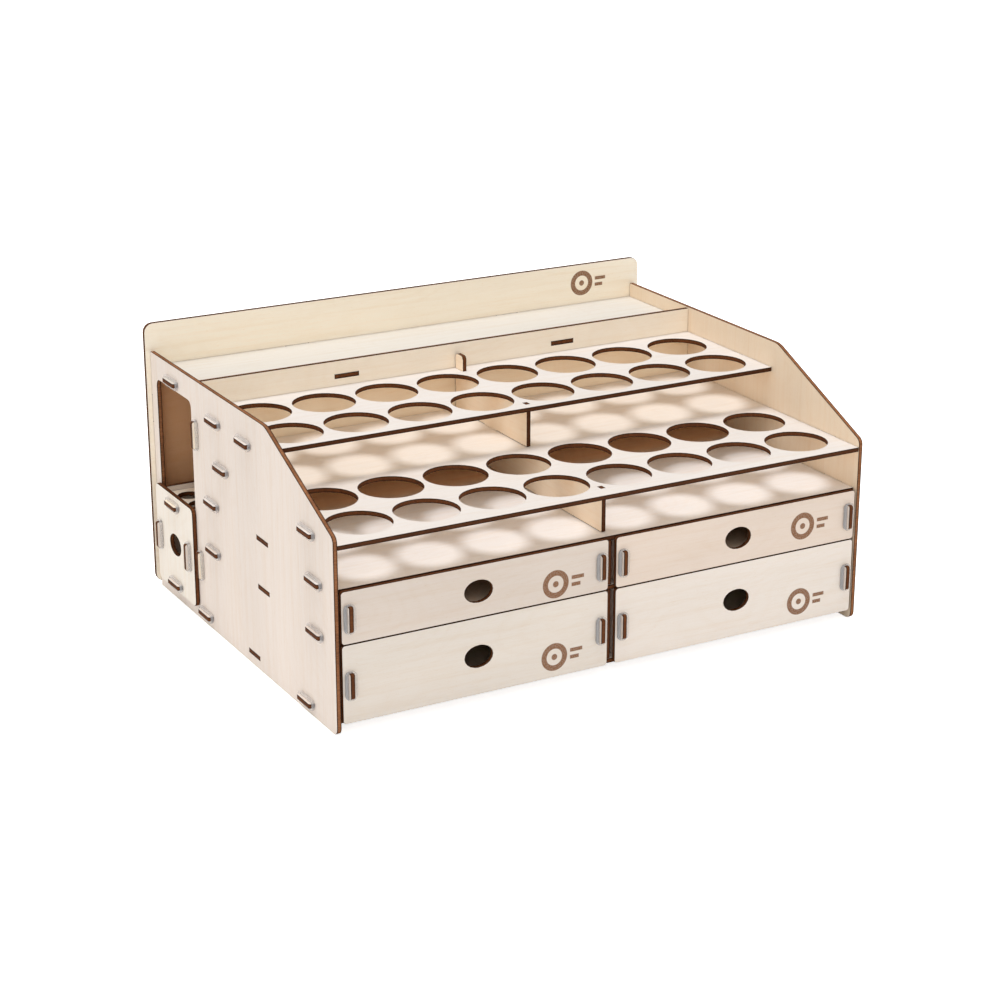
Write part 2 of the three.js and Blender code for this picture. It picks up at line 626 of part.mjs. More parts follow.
// ---- brush boxes ------------------------------------------------------------------------
// Built for the left end, or for the right end with `side` at 1.
function brushBox(prefix, side) {
  const group = new THREE.Group();
  const spanX = (near, far) => (side < 0 ? [-far, -near] : [near, far]);
  const frontInner = SIDE_OUTER + SEAT;
  const boxOuter = frontInner - SEAT;
  const outerEdge = side < 0 ? 'left' : 'right';
  const innerEdge = side < 0 ? 'right' : 'left';
  const endNear = BRUSH_BOX_INNER_END + BRUSH_END_MARGIN;
  const endFace = endNear + PLY;
  const walls = [-BRUSH_WALL_OFFSET, BRUSH_WALL_OFFSET].map((offset) => BRUSH_BOX_CENTRE + offset);
  const plateMiddle = BRUSH_PLATE_LEVEL + PLY / 2;
  const floorMiddle = BRUSH_FLOOR_LEVEL + PLY / 2;

  const front = boardOutline(
    [BRUSH_BOX_CENTRE - BRUSH_FRONT_WIDTH / 2, BRUSH_BOX_CENTRE + BRUSH_FRONT_WIDTH / 2],
    [BRUSH_FRONT_LOW, BRUSH_FRONT_TOP],
    {},
    BRUSH_CORNER,
  );
  const frontHoles = [ellipseHole(BRUSH_BOX_CENTRE, BRUSH_TENON_HEIGHT, FINGER_HOLE_WIDTH,
    FINGER_HOLE_HEIGHT, FINGER_HOLE_SIDES)];
  for (const y of walls) frontHoles.push(slot(y, BRUSH_TENON_HEIGHT, PLY, RINGED_TENON));
  for (const z of [plateMiddle, floorMiddle]) {
    frontHoles.push(slot(BRUSH_BOX_CENTRE, z, RINGED_TENON, PLY));
  }
  const frontLeft = side < 0 ? -(frontInner + PLY) : frontInner;
  group.add(lengthBoard(`${prefix}_front`, frontLeft, front, frontHoles));

  for (const [y, word] of [[walls[0], 'front'], [walls[1], 'rear']]) {
    const outline = boardOutline(spanX(BRUSH_BOX_INNER_END, boxOuter),
      [BRUSH_BOX_LOW, BRUSH_WALL_TOP], { [outerEdge]: [ringedTab(BRUSH_TENON_HEIGHT)] });
    const holes = [slot(side * (endNear + PLY / 2), BRUSH_TENON_HEIGHT, PLY, FLUSH_TENON)];
    for (const x of BRUSH_WALL_TENONS) {
      holes.push(slot(side * x, plateMiddle, FLUSH_TENON, PLY));
    }
    group.add(crossBoard(`${prefix}_${word}_wall`, y - PLY / 2, outline, holes));
  }

  const acrossHalf = BRUSH_WALL_OFFSET - PLY / 2 - SEAT;
  const across = [BRUSH_BOX_CENTRE - acrossHalf, BRUSH_BOX_CENTRE + acrossHalf];
  const wallTabs = BRUSH_WALL_TENONS.map((x) => flushTab(side * x));
  const plate = boardOutline(spanX(endFace + SEAT, boxOuter), across, {
    [outerEdge]: [ringedTab(BRUSH_BOX_CENTRE)],
    bottom: wallTabs,
    top: wallTabs,
  });
  const plateHoles = [];
  for (const row of [-BRUSH_HOLE_PITCH / 2, BRUSH_HOLE_PITCH / 2]) {
    for (let column = 0; column < BRUSH_HOLE_COLUMNS; column += 1) {
      const x = side * (BRUSH_FIRST_COLUMN - column * BRUSH_HOLE_PITCH);
      plateHoles.push(roundHole(x, BRUSH_BOX_CENTRE + row, BRUSH_HOLE_DIAMETER,
        BRUSH_HOLE_SIDES));
    }
  }
  group.add(flatBoard(`${prefix}_hole_plate`, BRUSH_PLATE_LEVEL, plate, plateHoles));

  const floor = boardOutline(spanX(endFace + SEAT, boxOuter), across, {
    [outerEdge]: [ringedTab(BRUSH_BOX_CENTRE)],
    [innerEdge]: [flushTab(BRUSH_BOX_CENTRE)],
  });
  group.add(flatBoard(`${prefix}_floor`, BRUSH_FLOOR_LEVEL, floor));

  const endTabs = [flushTab(BRUSH_TENON_HEIGHT)];
  const end = boardOutline(across, [BRUSH_BOX_LOW, BRUSH_WALL_TOP],
    { left: endTabs, right: endTabs });
  const endLeft = side < 0 ? -endFace : endNear;
  const endHoles = [slot(BRUSH_BOX_CENTRE, floorMiddle, FLUSH_TENON, PLY)];
  group.add(lengthBoard(`${prefix}_end_wall`, endLeft, end, endHoles));
  return group;
}

function brushBoxRings() {
  const face = -(SIDE_OUTER + SEAT + PLY);
  const wall = BRUSH_WALL_OFFSET;
  return [
    endRing('left_brush_box_top_ring', face, BRUSH_BOX_CENTRE, BRUSH_PLATE_LEVEL + PLY / 2, true),
    endRing('left_brush_box_low_ring', face, BRUSH_BOX_CENTRE, BRUSH_FLOOR_LEVEL + PLY / 2, true),
    endRing('left_brush_box_front_ring', face, BRUSH_BOX_CENTRE - wall, BRUSH_TENON_HEIGHT, false),
    endRing('left_brush_box_rear_ring', face, BRUSH_BOX_CENTRE + wall, BRUSH_TENON_HEIGHT, false),
  ];
}

// ---- the whole rack ---------------------------------------------------------------------
const rack = new THREE.Group();
rack.position.y = -CENTRE_Y;

rack.add(sidePanel('left_side_panel', -SIDE_OUTER));
rack.add(sidePanel('right_side_panel', SIDE_INNER));
rack.add(backPanel());
rack.add(rearPartition());
rack.add(trayFloor());
rack.add(upperRackPlate());
rack.add(lowerRackDeck());
rack.add(drawerShelf('drawer_bay_top_shelf', BAY_TOP_LEVEL));
rack.add(drawerShelf('drawer_bay_middle_shelf', MIDDLE_SHELF_LEVEL));
rack.add(baseBoard());
rack.add(...dividers());
rack.add(rearCentreRib());

for (const [word, side] of [['left', -1], ['right', 1]]) {
  const upperBay = [MIDDLE_SHELF_LEVEL + PLY, BAY_TOP_LEVEL];
  const lowerBay = [BASE_LEVEL + PLY, MIDDLE_SHELF_LEVEL];
  const seamAbove = FRONT_SEAM + FRONT_SEAM_GAP / 2;
  const seamBelow = FRONT_SEAM - FRONT_SEAM_GAP / 2;
  const centre = side * BAY_CENTRE;
  rack.add(drawer(`upper_${word}_drawer`, centre, ...upperBay, seamAbove, UPPER_FRONT_TOP));
  rack.add(drawer(`lower_${word}_drawer`, centre, ...lowerBay, LOWER_FRONT_LOW, seamBelow));
  rack.add(brushBox(`${word}_brush_box`, side));
}
rack.add(...brushBoxRings());

export default rack;
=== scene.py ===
"""A desktop paint rack of thin plywood, with drawers, brush boxes and soft locking rings."""

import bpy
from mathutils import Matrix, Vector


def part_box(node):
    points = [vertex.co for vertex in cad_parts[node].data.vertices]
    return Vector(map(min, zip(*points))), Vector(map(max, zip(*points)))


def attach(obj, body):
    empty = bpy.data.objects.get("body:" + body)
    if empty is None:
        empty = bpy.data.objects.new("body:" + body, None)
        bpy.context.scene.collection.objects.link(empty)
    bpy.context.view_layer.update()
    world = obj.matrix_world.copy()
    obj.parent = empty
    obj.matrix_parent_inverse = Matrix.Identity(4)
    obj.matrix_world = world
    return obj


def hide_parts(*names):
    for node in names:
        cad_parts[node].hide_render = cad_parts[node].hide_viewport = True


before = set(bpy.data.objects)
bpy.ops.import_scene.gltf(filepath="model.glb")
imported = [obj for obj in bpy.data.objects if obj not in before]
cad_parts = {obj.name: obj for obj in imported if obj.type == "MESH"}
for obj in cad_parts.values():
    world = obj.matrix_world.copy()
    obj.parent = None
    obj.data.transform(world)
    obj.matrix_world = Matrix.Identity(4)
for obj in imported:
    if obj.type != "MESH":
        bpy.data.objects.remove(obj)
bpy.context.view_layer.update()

import math

import bmesh
import bpy
from mathutils import Matrix, Vector

MM = 0.001
PLY = 2.4                   # board thickness, mm
RACK_SHIFT = -116.1         # from the side panels' front edge to the middle of the rack, mm
X, Y, Z = Vector((1, 0, 0)), Vector((0, 1, 0)), Vector((0, 0, 1))

# ---- node helpers -----------------------------------------------------------------------


def new_group(name, inputs, outputs):
    """An empty shader node group with named sockets, with its input and output nodes."""
    group = bpy.data.node_groups.new(name, "ShaderNodeTree")
    for label, kind, value in inputs:
        socket = group.interface.new_socket(label, in_out="INPUT", socket_type=kind)
        if value is not None:
            socket.default_value = value
    for label, kind in outputs:
        group.interface.new_socket(label, in_out="OUTPUT", socket_type=kind)
    return group, group.nodes.new("NodeGroupInput"), group.nodes.new("NodeGroupOutput")


def put(tree, socket, value):
    """Sets a socket, or links it where the value is another node's output."""
    if isinstance(value, bpy.types.NodeSocket):
        tree.links.new(value, socket)
    else:
        socket.default_value = value


def math_node(tree, operation, first, second=0.0):
    node = tree.nodes.new("ShaderNodeMath")
    node.operation = operation
    put(tree, node.inputs[0], first)
    put(tree, node.inputs[1], second)
    return node.outputs[0]


def multiply_add(tree, first, second, third):
    node = tree.nodes.new("ShaderNodeMath")
    node.operation = "MULTIPLY_ADD"
    for socket, value in zip(node.inputs, (first, second, third)):
        put(tree, socket, value)
    return node.outputs[0]


def vector_node(tree, operation, first, second):
    node = tree.nodes.new("ShaderNodeVectorMath")
    node.operation = operation
    put(tree, node.inputs[0], first)
    put(tree, node.inputs[1], second)
    return node.outputs["Value"] if operation == "DOT_PRODUCT" else node.outputs["Vector"]


def ramp_between(tree, value, low, high, out_low=0.0, out_high=1.0):
    """A smooth step from out_low to out_high as value goes from low to high."""
    node = tree.nodes.new("ShaderNodeMapRange")
    node.interpolation_type = "SMOOTHSTEP"
    for label, number in (("Value", value), ("From Min", low), ("From Max", high),
                          ("To Min", out_low), ("To Max", out_high)):
        put(tree, node.inputs[label], number)
    return node.outputs["Result"]


def mix_colour(tree, share, first, second, blend="MIX"):
    node = tree.nodes.new("ShaderNodeMix")
    node.data_type = "RGBA"
    node.blend_type = blend
    put(tree, node.inputs["Factor"], share)
    put(tree, node.inputs["A"], first)
    put(tree, node.inputs["B"], second)
    return node.outputs["Result"]


def noise(tree, place, stretch, detail=2.0, roughness=0.5, distortion=0.0):
    """Noise whose grain is stretched by a vector; place is in millimetres."""
    node = tree.nodes.new("ShaderNodeTexNoise")
    put(tree, node.inputs["Vector"], vector_node(tree, "MULTIPLY", place, stretch))
    node.inputs["Scale"].default_value = 1.0
    node.inputs["Detail"].default_value = detail
    node.inputs["Roughness"].default_value = roughness
    node.inputs["Distortion"].default_value = distortion
    return node.outputs["Fac"]


def place_group(tree, group, **values):
    node = tree.nodes.new("ShaderNodeGroup")
    node.node_tree = group
    for label, value in values.items():
        put(tree, node.inputs[label.replace("_", " ")], value)
    return node


def clear_material(name):
    """A material with only its Principled shader and output, with its tree and shader."""
    material = bpy.data.materials.new(name)
    material.use_nodes = True
    tree = material.node_tree
    tree.nodes.clear()
    shader = tree.nodes.new("ShaderNodeBsdfPrincipled")
    output = tree.nodes.new("ShaderNodeOutputMaterial")
    tree.links.new(shader.outputs["BSDF"], output.inputs["Surface"])
    return material, tree, shader


# ---- shared finishes --------------------------------------------------------------------

LATE_WOOD = (0.90, 0.80, 0.68, 1)   # what the darker growth multiplies the wood by
STREAK_SHARE = 0.24                 # how strongly each kind of growth shows
ARC_SHARE = 0.16
PORE_SHARE = 0.22
FLECK_SHARE = 0.30
ARC_PITCH = 0.55                    # turns of the arcs across the grain, radians per mm
ARC_WANDER = 150.0                  # how far the arcs stray, radians
FLECK_DEPTH = 0.35                  # how deep a fleck sits against the pores
MARK_RING_CENTRE = (-4.5, 0.0, 0.0)     # the pot's ring in the mark, mm
MARK_RING_RADIUS = 6.0
MARK_RING_EDGE = (1.35, 1.65)       # where the ring's line fades, each way from its radius
MARK_DOT_EDGE = (1.5, 1.8)          # where the dot in the middle fades
MARK_STROKES = ((8.3, 3.6, 1.9, 1.0), (7.3, 2.6, -1.9, 1.0))  # middle, half length, middle, half
MARK_SOFTNESS = 0.15                # how far a stroke's edge fades, mm


def build_wood_face():
    """Pale rotary-cut veneer: broad tone, streaks along the grain, faint arcs and flecks."""
    group, given, result = new_group(
        "pale veneer",
        [("Board Place", "NodeSocketVector", None),
         ("Wood", "NodeSocketColor", (0.87, 0.785, 0.71, 1)),
         ("Figure", "NodeSocketFloat", 0.5)],
        [("Color", "NodeSocketColor"), ("Height", "NodeSocketFloat"),
         ("Roughness", "NodeSocketFloat")],
    )
    place = given.outputs["Board Place"]
    broad = noise(group, place, (0.006, 0.025, 0.0), detail=2.0)
    streak = noise(group, place, (0.012, 0.30, 0.0), detail=4.0, roughness=0.6, distortion=0.4)
    fine = noise(group, place, (0.10, 2.2, 0.0), detail=3.0, roughness=0.65)
    fleck = noise(group, place, (0.45, 1.1, 0.0), detail=2.0, roughness=0.7)
    wander = noise(group, place, (0.008, 0.02, 0.0), detail=1.0)
    across = group.nodes.new("ShaderNodeSeparateXYZ")
    put(group, across.inputs[0], place)
    arcs = math_node(group, "SINE", multiply_add(
        group, across.outputs["Y"], ARC_PITCH,
        math_node(group, "MULTIPLY", wander, ARC_WANDER)))
    figured = math_node(group, "MULTIPLY", ramp_between(group, arcs, 0.1, 1.0),
                        given.outputs["Figure"])
    fleck_mask = ramp_between(group, fleck, 0.58, 0.74)
    late = math_node(group, "MULTIPLY", ramp_between(group, streak, 0.42, 0.72),
                     STREAK_SHARE)
    late = multiply_add(group, figured, ARC_SHARE, late)
    late = multiply_add(group, ramp_between(group, fine, 0.45, 0.75), PORE_SHARE, late)
    late = multiply_add(group, fleck_mask, FLECK_SHARE, late)
    late_wood = mix_colour(group, 1.0, given.outputs["Wood"], LATE_WOOD, "MULTIPLY")
    veneer = mix_colour(group, late, given.outputs["Wood"], late_wood)
    tone = ramp_between(group, broad, 0.3, 0.7, 0.975, 1.025)
    tone_colour = group.nodes.new("ShaderNodeCombineColor")
    for channel in tone_colour.inputs:
        put(group, channel, tone)
    put(group, result.inputs["Color"],
        mix_colour(group, 1.0, veneer, tone_colour.outputs[0], "MULTIPLY"))
    put(group, result.inputs["Height"],
        math_node(
            group, "SUBTRACT", fine, math_node(group, "MULTIPLY", fleck_mask, FLECK_DEPTH)))
    put(group, result.inputs["Roughness"], ramp_between(group, streak, 0.3, 0.75, 0.60, 0.74))
    return group


def build_cut_edge():
    """Laser-burnt edge: charred rims, a brown core ply and fine striations through the board."""
    group, given, result = new_group(
        "burnt cut edge",
        [("Board Place", "NodeSocketVector", None),
         ("Through", "NodeSocketFloat", 0.5),
         ("Soot", "NodeSocketFloat", 0.0),
         ("Char", "NodeSocketColor", (0.030, 0.010, 0.004, 1)),
         ("Core", "NodeSocketColor", (0.17, 0.056, 0.018, 1))],
        [("Color", "NodeSocketColor"), ("Height", "NodeSocketFloat"),
         ("Roughness", "NodeSocketFloat")],
    )
    place = given.outputs["Board Place"]
    striae = noise(group, place, (1.9, 1.9, 0.18), detail=2.0, roughness=0.6)
    patches = noise(group, place, (0.06, 0.06, 0.3), detail=2.0)
    off_middle = math_node(
        group, "ABSOLUTE", math_node(group, "SUBTRACT", given.outputs["Through"], 0.5))
    core = ramp_between(group, off_middle, 0.20, 0.42, 1.0, 0.0)
    depth = math_node(group, "MULTIPLY", ramp_between(group, striae, 0.3, 0.7, 0.55, 1.0),
                      ramp_between(group, patches, 0.3, 0.7, 0.7, 1.0))
    clean = multiply_add(group, given.outputs["Soot"], -1.0, 1.0)
    share = math_node(group, "MULTIPLY", core, math_node(group, "MULTIPLY", depth, clean))
    put(group, result.inputs["Color"],
        mix_colour(group, share, given.outputs["Char"], given.outputs["Core"]))
    put(group, result.inputs["Height"], striae)
    put(group, result.inputs["Roughness"], ramp_between(group, striae, 0.3, 0.7, 0.66, 0.88))
    return group


def build_burnt_mark():
    """A small engraved mark, a paint pot seen from above with two brush strokes beside it."""
    group, given, result = new_group(
        "burnt mark",
        [("Mark Place", "NodeSocketVector", None)],
        [("Mask", "NodeSocketFloat")],
    )
    place = given.outputs["Mark Place"]
    split = group.nodes.new("ShaderNodeSeparateXYZ")
    put(group, split.inputs[0], place)
    flat = vector_node(group, "MULTIPLY", place, (1.0, 1.0, 0.0))
    reach = group.nodes.new("ShaderNodeVectorMath")
    reach.operation = "DISTANCE"
    put(group, reach.inputs[0], flat)
    reach.inputs[1].default_value = MARK_RING_CENTRE
    distance = reach.outputs["Value"]
    off_ring = math_node(group, "ABSOLUTE", math_node(
        group, "SUBTRACT", distance, MARK_RING_RADIUS))
    mask = ramp_between(group, off_ring, *MARK_RING_EDGE, 1.0, 0.0)
    dot = ramp_between(group, distance, *MARK_DOT_EDGE, 1.0, 0.0)
    mask = math_node(group, "MAXIMUM", mask, dot)
    for middle_u, half_u, middle_v, half_v in MARK_STROKES:
        off_u = math_node(group, "ABSOLUTE", math_node(
            group, "SUBTRACT", split.outputs["X"], middle_u))
        off_v = math_node(group, "ABSOLUTE", math_node(
            group, "SUBTRACT", split.outputs["Y"], middle_v))
        outside = math_node(group, "MAXIMUM", math_node(group, "SUBTRACT", off_u, half_u),
                            math_node(group, "SUBTRACT", off_v, half_v))
        stroke = ramp_between(group, outside, -MARK_SOFTNESS, MARK_SOFTNESS, 1.0, 0.0)
        mask = math_node(group, "MAXIMUM", mask, stroke)
    hatch = noise(group, place, (1.4, 1.4, 0.0), detail=2.0)
    put(group, result.inputs["Mask"], math_node(
        group, "MULTIPLY", mask, ramp_between(group, hatch, 0.3, 0.7, 0.80, 1.0)))
    return group


WOOD_FACE = build_wood_face()
CUT_EDGE = build_cut_edge()
BURNT_MARK = build_burnt_mark()

# ---- plywood ----------------------------------------------------------------------------

AXES = "XYZ"
LOW, HIGH = "low side", "high side"
SHEET_SHIFT = (211.7, 87.3, 0.0)    # moves each board to its own part of the veneer, mm
FIGURE = 0.4                        # how much the arcs show
CUT_FACING = (0.70, 0.95)           # how squarely a face looks out before it counts as veneer
FRONT_SOOT = 0.45                   # soot on a smoky front edge
SOOT_DEPTH = (0.3, 0.6)             # where that soot ends, mm behind the edge
ENGRAVING_DEPTH = -2.0              # against the height of the veneer's pores
GRAIN_STRENGTH = 0.35
GRAIN_HEIGHT = 0.06                 # mm
WOOD_SHINE = 0.12


def plywood(name, along, through, underside, seed, tones, core=None, soot_front=None,
            painted_shade=None, mark=None):
    """Veneer on the two faces of a board and a burnt edge on everything cut through it.

    tones are the wood colours of the face at the low side and at the high side, with painted
    light and shade: a side that lies in shade is warmer and deeper. core is the colour of the
    middle ply, where it differs. stain is painted shade in closed spaces: a side, a colour and
    the limits (axis, from, to) between which that side turns to the colour, in millimetres of
    the rack's frame, with X taken either way from the middle. soot_front is the y of a front
    edge that is sootier than the rest. mark is the x and z of an engraved mark on the low side.
    """
    material, tree, shader = clear_material(name)
    across = next(axis for axis in AXES if axis not in (along, through))
    source = tree.nodes.new("ShaderNodeTexCoord")
    scaled = vector_node(tree, "SCALE", source.outputs["Object"], (0.0, 0.0, 0.0))
    scaled.node.inputs["Scale"].default_value = 1 / MM
    split = tree.nodes.new("ShaderNodeSeparateXYZ")
    put(tree, split.inputs[0], scaled)
    board = tree.nodes.new("ShaderNodeCombineXYZ")
    for slot_name, axis in zip(AXES, (along, across, through)):
        put(tree, board.inputs[slot_name], split.outputs[axis])
    placed = vector_node(tree, "ADD", board.outputs[0], [seed * shift for shift in SHEET_SHIFT])
    depth = math_node(tree, "MULTIPLY", math_node(
        tree, "SUBTRACT", split.outputs[through], underside / MM), 1 / PLY)
    facing = tree.nodes.new("ShaderNodeSeparateXYZ")
    put(tree, facing.inputs[0], source.outputs["Normal"])
    flatness = math_node(tree, "ABSOLUTE", facing.outputs[through])
    cut = ramp_between(tree, flatness, *CUT_FACING, 1.0, 0.0)
    high_side = ramp_between(tree, facing.outputs[through], -0.1, 0.1)
    # Painted light and shade: each face of the board takes its own tone, paler where it faces the
    # lamps, warmer and deeper where it lies in shade.
    wood = mix_colour(tree, high_side, (*tones[0], 1), (*tones[1], 1))
    # Painted shade in the closed spaces at the rear: inside the limits the chosen side turns to a
    # deeper colour.
    if painted_shade is not None:
        side, colour, limits = painted_shade
        shade_share = multiply_add(tree, high_side, 1.0 if side == HIGH else -1.0,
                               0.0 if side == HIGH else 1.0)
        for axis, start, end in limits:
            from_middle = split.outputs[axis]
            if axis == "X":
                from_middle = math_node(tree, "ABSOLUTE", from_middle)
            shade_share = math_node(tree, "MULTIPLY", ramp_between(tree, from_middle, start, end),
                                shade_share)
        wood = mix_colour(tree, shade_share, wood, (*colour, 1))
    veneer = place_group(tree, WOOD_FACE, Board_Place=placed, Wood=wood, Figure=FIGURE)
    edge = place_group(tree, CUT_EDGE, Board_Place=placed, Through=depth)
    if core is not None:
        edge.inputs["Core"].default_value = (*core, 1)
    if soot_front is not None:
        put(tree, edge.inputs["Soot"], ramp_between(
            tree, split.outputs["Y"], soot_front + SOOT_DEPTH[0], soot_front + SOOT_DEPTH[1],
            FRONT_SOOT, 0.0))
    face_colour, face_height = veneer.outputs["Color"], veneer.outputs["Height"]
    if mark is not None:
        mark_place = tree.nodes.new("ShaderNodeCombineXYZ")
        put(tree, mark_place.inputs["X"], math_node(tree, "SUBTRACT", split.outputs["X"], mark[0]))
        put(tree, mark_place.inputs["Y"], math_node(tree, "SUBTRACT", split.outputs["Z"], mark[1]))
        burnt = place_group(tree, BURNT_MARK, Mark_Place=mark_place.outputs[0])
        low_side = multiply_add(tree, high_side, -1.0, 1.0)
        engraved = math_node(tree, "MULTIPLY", burnt.outputs["Mask"], low_side)
        face_colour = mix_colour(tree, engraved, face_colour, (*BURNT_WOOD, 1))
        face_height = multiply_add(tree, engraved, ENGRAVING_DEPTH, face_height)
    put(tree, shader.inputs["Base Color"],
        mix_colour(tree, cut, face_colour, edge.outputs["Color"]))
    rough = tree.nodes.new("ShaderNodeMix")
    height = tree.nodes.new("ShaderNodeMix")
    for node, label, face_value in ((rough, "Roughness", veneer.outputs["Roughness"]),
                                    (height, "Height", face_height)):
        put(tree, node.inputs["Factor"], cut)
        put(tree, node.inputs["A"], face_value)
        put(tree, node.inputs["B"], edge.outputs[label])
    put(tree, shader.inputs["Roughness"], rough.outputs["Result"])
    bump = tree.nodes.new("ShaderNodeBump")
    bump.inputs["Strength"].default_value = GRAIN_STRENGTH
    bump.inputs["Distance"].default_value = GRAIN_HEIGHT * MM
    put(tree, bump.inputs["Height"], height.outputs["Result"])
    put(tree, shader.inputs["Normal"], bump.outputs["Normal"])
    shader.inputs["Specular IOR Level"].default_value = WOOD_SHINE
    return material


# Wood colours of the board faces. Besides the wood's own colour they carry painted light and
# shade:
# paler on faces toward the lamps, warmer and deeper on inner faces and undersides in shade,
# deepest in the closed spaces at the rear. Each drawer front has its own tone.
PALE = (0.84, 0.755, 0.69)
TOPS = (0.77, 0.72, 0.68)
TRAY = (0.72, 0.68, 0.62)
SHELF = (0.84, 0.80, 0.77)
WARM = (0.97, 0.87, 0.73)
RIGHT = (0.91, 0.76, 0.59)
# painted shade and warm bounce light on the undersides of the deck and the plate
UNDERSIDE_SHADE = (0.98, 0.74, 0.50)
BACK = (0.99, 0.91, 0.77)
DIVIDER = (0.98, 0.82, 0.64)
INNER = (0.98, 0.84, 0.65)
UPPER_FLOOR = (0.83, 0.76, 0.68)
DRAWER_INSIDE = (0.78, 0.63, 0.49)
BRUSH_FRONT = (0.90, 0.84, 0.76)
# painted shade for faces shut inside the rack
DEEP_SHADE = (0.72, 0.42, 0.23)
# painted shade on the rear of the drawer bay's top shelf, under the deck
REAR_SHADE = (0.99, 0.69, 0.47)
FRONTS = {
    "upper_left_drawer_front": (0.755, 0.670, 0.60),
    "lower_left_drawer_front": (0.81, 0.745, 0.675),
    "upper_right_drawer_front": (0.82, 0.705, 0.615),
    "lower_right_drawer_front": (0.87, 0.80, 0.735),
}
PANEL_CORE = (0.38, 0.16, 0.07)
BURNT_WOOD = (0.23, 0.100, 0.042)

# Low-side and high-side tone of each board, with painted shade on the faces that lie in shade.
BOARD_TONES = {
    "left_side_panel": (PALE, WARM),
    "right_side_panel": (RIGHT, PALE),
    "back_panel": (BACK, WARM),
    "rear_partition": (WARM, WARM),
    "tray_floor": (DEEP_SHADE, TRAY),
    "upper_rack_plate": (UNDERSIDE_SHADE, TOPS),
    "lower_rack_deck": (UNDERSIDE_SHADE, TOPS),
    "drawer_bay_top_shelf": (DEEP_SHADE, SHELF),
    "upper_tier_divider": (DIVIDER, DIVIDER),
    "lower_tier_divider": (DIVIDER, DIVIDER),
    "left_brush_box_front": (BRUSH_FRONT, PALE),
    "right_brush_box_front": (PALE, BRUSH_FRONT),
    "upper_drawer_divider": (DEEP_SHADE, DEEP_SHADE),
    "lower_drawer_divider": (DEEP_SHADE, DEEP_SHADE),
    "rear_centre_rib": (DEEP_SHADE, DEEP_SHADE),
    "left_brush_box_hole_plate": (DEEP_SHADE, WARM),
    "right_brush_box_hole_plate": (DEEP_SHADE, WARM),
}
# Painted shade where a face lies in a closed space: the side, its colour and the limits.
PAINTED_SHADES = {
    "back_panel": (LOW, DEEP_SHADE, (("Z", 126.0, 125.0), ("X", 153.5, 152.2))),
    "rear_partition": (LOW, INNER, (("Z", 120.6, 119.4), ("X", 153.5, 152.2))),
    "lower_rack_deck": (HIGH, UPPER_FLOOR, (("Y", 84.0 + RACK_SHIFT, 88.0 + RACK_SHIFT),
                                            ("X", 153.0, 152.6))),
    "drawer_bay_top_shelf": (HIGH, REAR_SHADE, (("Y", 98.0 + RACK_SHIFT, 116.0 + RACK_SHIFT),
                                            ("X", 153.0, 152.6))),
}
MARKS = {
    "upper_left_drawer_front": (-28.5, 56.0),
    "lower_left_drawer_front": (-29.0, 16.6),
    "upper_right_drawer_front": (122.5, 60.0),
    "lower_right_drawer_front": (122.0, 17.2),
    "back_panel": (123.2, 140.6),
}
UPRIGHT_GRAIN = ("left_side_panel", "right_side_panel")
SOOTY_FRONTS = ("lower_rack_deck", "upper_rack_plate", "drawer_bay_top_shelf",
                "upper_tier_divider", "lower_tier_divider")
ARRIS = 0.19                # width of the scorched corner along every cut, mm
SHARP = math.radians(50)    # only corners sharper than this are scorched
FACET_JOIN = 0.002          # points of neighbouring facets closer than this are one, mm


def board_tones(name):
    if name in FRONTS:
        return FRONTS[name], DRAWER_INSIDE
    if name.endswith(("_drawer_back", "_drawer_floor")):
        return DRAWER_INSIDE, DRAWER_INSIDE
    return BOARD_TONES.get(name, (PALE, PALE))


def scorch_corners(node):
    """Joins the board's facets and breaks every cut corner a little."""
    weld = node.modifiers.new("join facets", "WELD")
    weld.merge_threshold = FACET_JOIN * MM
    bevel = node.modifiers.new("scorched corners", "BEVEL")
    bevel.width = ARRIS * MM
    bevel.segments = 1
    bevel.limit_method = "ANGLE"
    bevel.angle_limit = SHARP
    bevel.use_clamp_overlap = True


ring_nodes = [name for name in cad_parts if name.endswith("_ring")]
boards = [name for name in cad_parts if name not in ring_nodes]
for index, name in enumerate(sorted(boards)):
    low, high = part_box(name)
    spans = [high[i] - low[i] for i in range(3)]
    through = AXES[spans.index(min(spans))]
    along = "Z" if name in UPRIGHT_GRAIN else AXES[spans.index(max(spans))]
    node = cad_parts[name]
    node.data.materials.clear()
    node.data.materials.append(plywood(
        f"{name} plywood", along, through, low[AXES.index(through)], index + 1,
        board_tones(name),
        core=PANEL_CORE if name in UPRIGHT_GRAIN else None,
        soot_front=low.y / MM if name in SOOTY_FRONTS else None,
        painted_shade=PAINTED_SHADES.get(name),
        mark=MARKS.get(name),
    ))
    scorch_corners(node)

# ---- soft locking rings -----------------------------------------------------------------

RING_WALL = 1.9             # width beside the tenon, mm
RING_END_WALL = 1.0         # width past the tenon's ends, mm
RING_CORNER = 3.0           # outer corner radius, mm
RING_HEIGHT = 1.7           # height above the board, mm
RING_PLAY = 0.15            # between ring and tenon, mm
RING_GAP = 0.2              # between ring and board, mm
SECTION_ROUND = 0.62        # rounding of the ring's section, mm
INNER_CORNER = 0.3          # rounding of the ring's opening, mm
RING_SHADE_SIDE = "painted shade side"   # where a ring is painted in shade, on one side, 0 to 1
SHADE_SPREAD = 0.5         # how soon past the tenon the painted shade is full, mm
UPRIGHT_SHADE = 0.45        # share of the painted shade on the upright rings of the rack's ends
RING_ALPHA = (0.24, 0.52)   # clear side and side painted in shade
CLEAR_MILK = ((0.66, 0.64, 0.63, 1), (0.76, 0.73, 0.71, 1))
# painted shade: the darker grey of a ring's shaded side
SHADED_MILK = (0.42, 0.43, 0.45, 1)
RING_SHINE = 0.22
LOOP_STEPS = 5              # facets in each corner of a ring's outline
SECTION_STEPS = 3           # facets in each corner of its section


